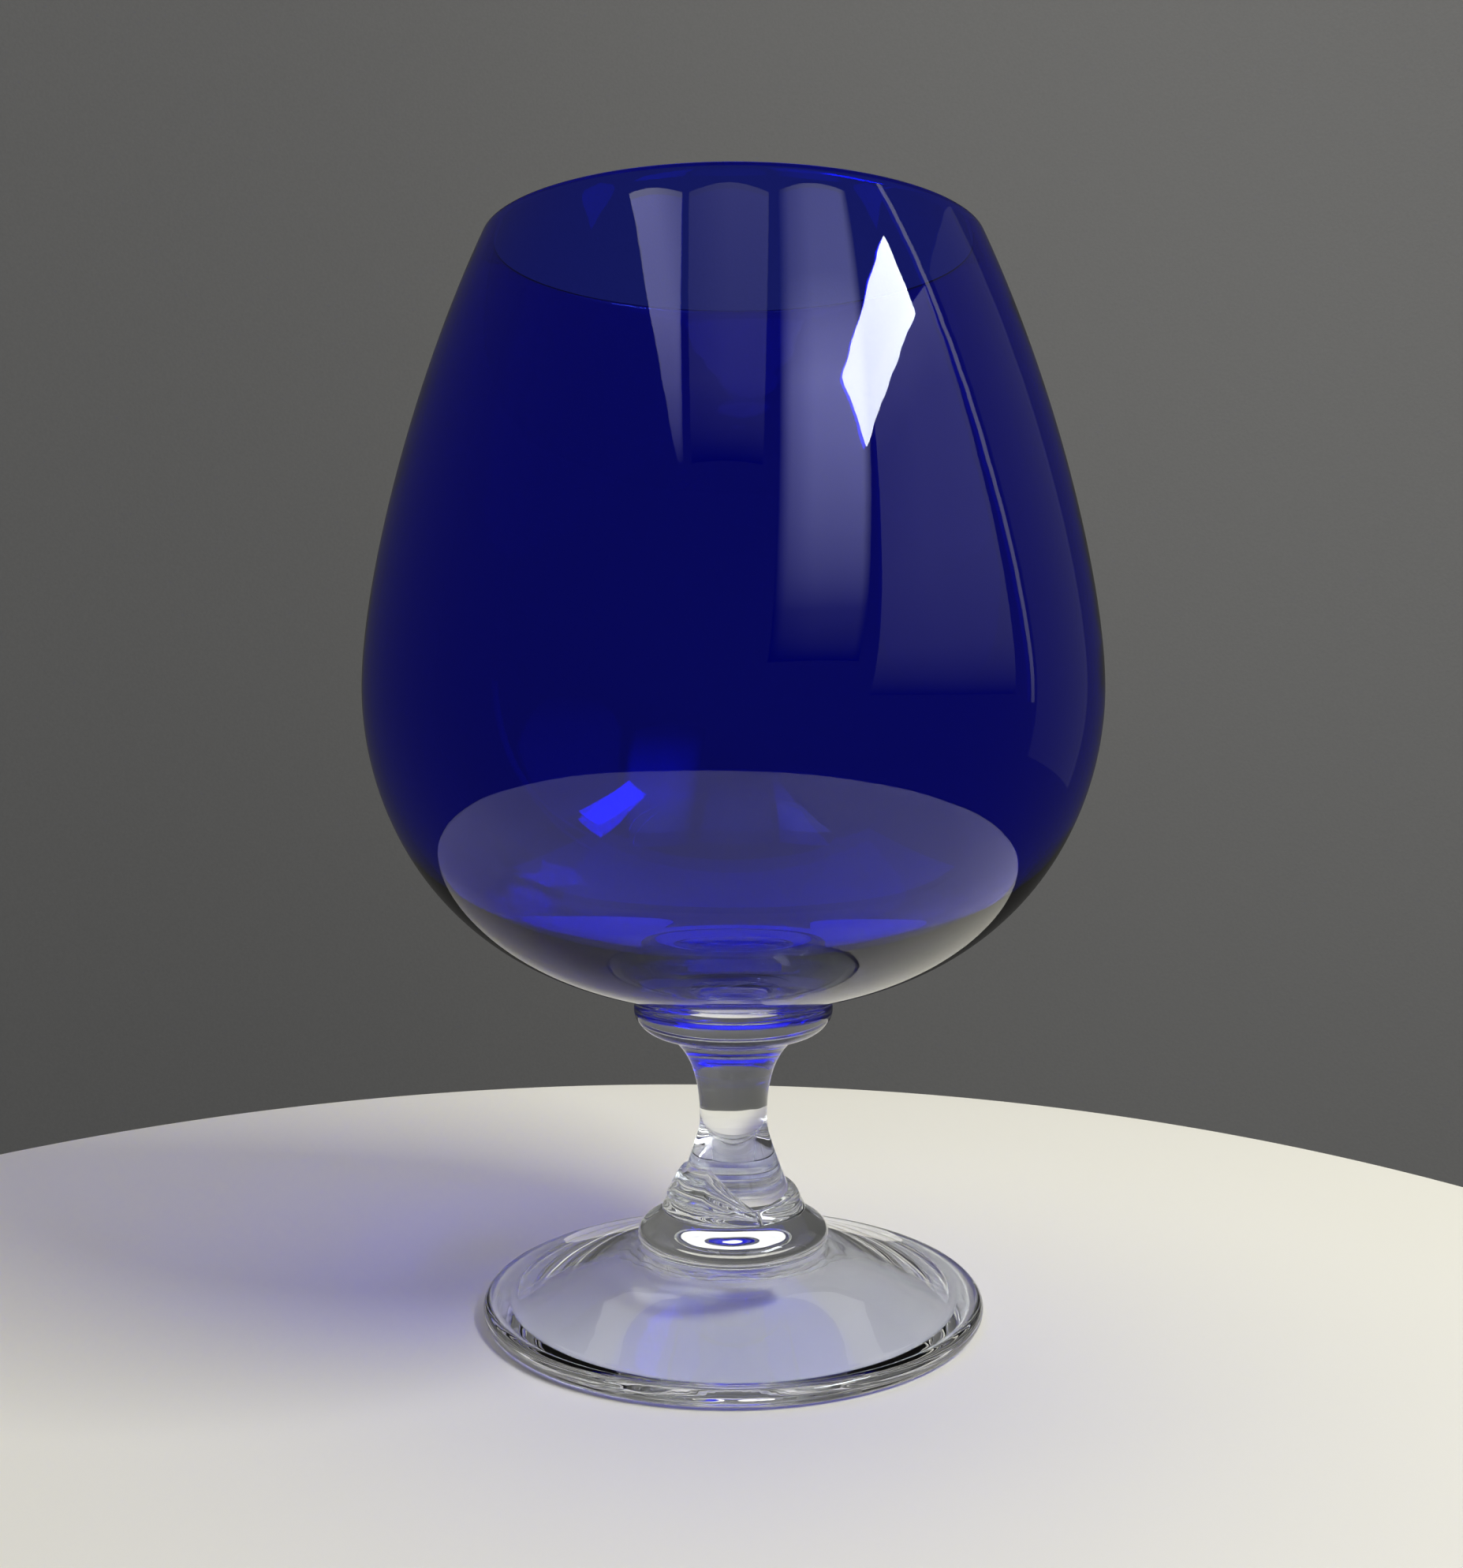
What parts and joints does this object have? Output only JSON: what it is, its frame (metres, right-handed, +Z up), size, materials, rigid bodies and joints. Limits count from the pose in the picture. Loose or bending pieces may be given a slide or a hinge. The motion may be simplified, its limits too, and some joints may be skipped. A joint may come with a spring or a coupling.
{
  "type": "footed glass",
  "caption": "Large snifter-shaped footed glass: blown cobalt-blue bowl on a clear merese, drawn stem with a wrapped trail, pad and domed foot.",
  "frame": {"origin": "centre of the ring that the foot stands on, at the level of the surface under it", "axes": "+Z up along the axis of the glass; -Y is the side where the trail's sheared end shows"},
  "size_m": [0.1916, 0.1916, 0.28],
  "materials": {
    "clear_glass": "clear soda-lime glass, fire polished",
    "cobalt_glass": "transparent cobalt-blue glass, fire polished"
  },
  "bodies": {
    "glass": {"foot": "clear_glass", "pad": "clear_glass", "trail": "clear_glass", "stem": "clear_glass", "merese": "clear_glass", "bowl": "cobalt_glass"}
  },
  "joints": []
}
